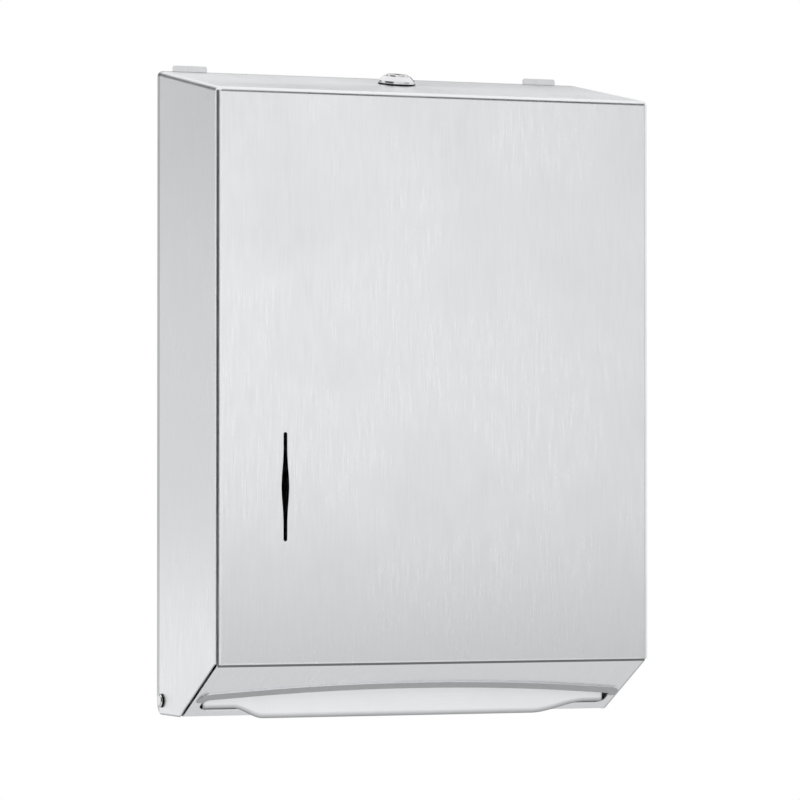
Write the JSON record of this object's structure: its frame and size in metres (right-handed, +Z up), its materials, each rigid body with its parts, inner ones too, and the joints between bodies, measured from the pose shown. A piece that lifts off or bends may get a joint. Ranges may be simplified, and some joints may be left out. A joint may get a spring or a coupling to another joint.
{
  "type": "folded paper towel dispenser",
  "caption": "Wall-mounted sheet-steel cabinet that stores folded paper towels and hands them out through an arched mouth below; its lockable cover swings down to refill.",
  "frame": {"origin": "centre of the four wall holes, on the wall face of the back panel", "axes": "+Z up, -Y out of the front, +Y into the wall, +X to the viewer's right when facing the front"},
  "size_m": [0.283, 0.105, 0.3927],
  "materials": {
    "cover_steel": "satin stainless sheet with a fine vertical grain",
    "cabinet_steel": "plain satin stainless sheet",
    "lock_chrome": "bright plated",
    "lock_zinc": "zinc plated steel",
    "wafer_brass": "plain stamped",
    "rivet_steel": "turned, satin",
    "bush_plastic": "moulded black",
    "towel_paper": "soft white embossed paper"
  },
  "bodies": {
    "cabinet": {"back_panel": "cabinet_steel", "left_side_wall": "cabinet_steel", "right_side_wall": "cabinet_steel", "towel_tray": "cover_steel", "towel_shelf": "cabinet_steel", "lock_keeper": "lock_zinc", "left_hinge_rivet": "rivet_steel", "right_hinge_rivet": "rivet_steel", "hinge_washers": "bush_plastic", "towel_stack": "towel_paper", "leading_towel": "towel_paper"},
    "cover": {"cover_shell": "cover_steel", "left_hinge_bush": "bush_plastic", "right_hinge_bush": "bush_plastic", "lock_housing": "lock_chrome", "lock_trim_ring": "lock_chrome", "lock_washer": "lock_zinc", "lock_nut": "lock_zinc"},
    "lock_core": {"lock_plug": "lock_chrome", "lock_wafers": "wafer_brass", "stop_washer": "lock_zinc", "lock_cam": "lock_zinc", "cam_washer": "lock_zinc", "cam_screw": "lock_zinc"}
  },
  "joints": [
    {"name": "cover_hinge", "type": "hinge", "parent": "cabinet", "child": "cover", "pos_m": [0, -0.0099, -0.2215], "axis": [1, 0, 0], "range_deg": [0, 90]},
    {"name": "lock_turn", "type": "hinge", "parent": "cover", "child": "lock_core", "pos_m": [0, -0.042, 0.1513], "axis": [0, -0.169, 0.9856], "range_deg": [0, 90]}
  ]
}
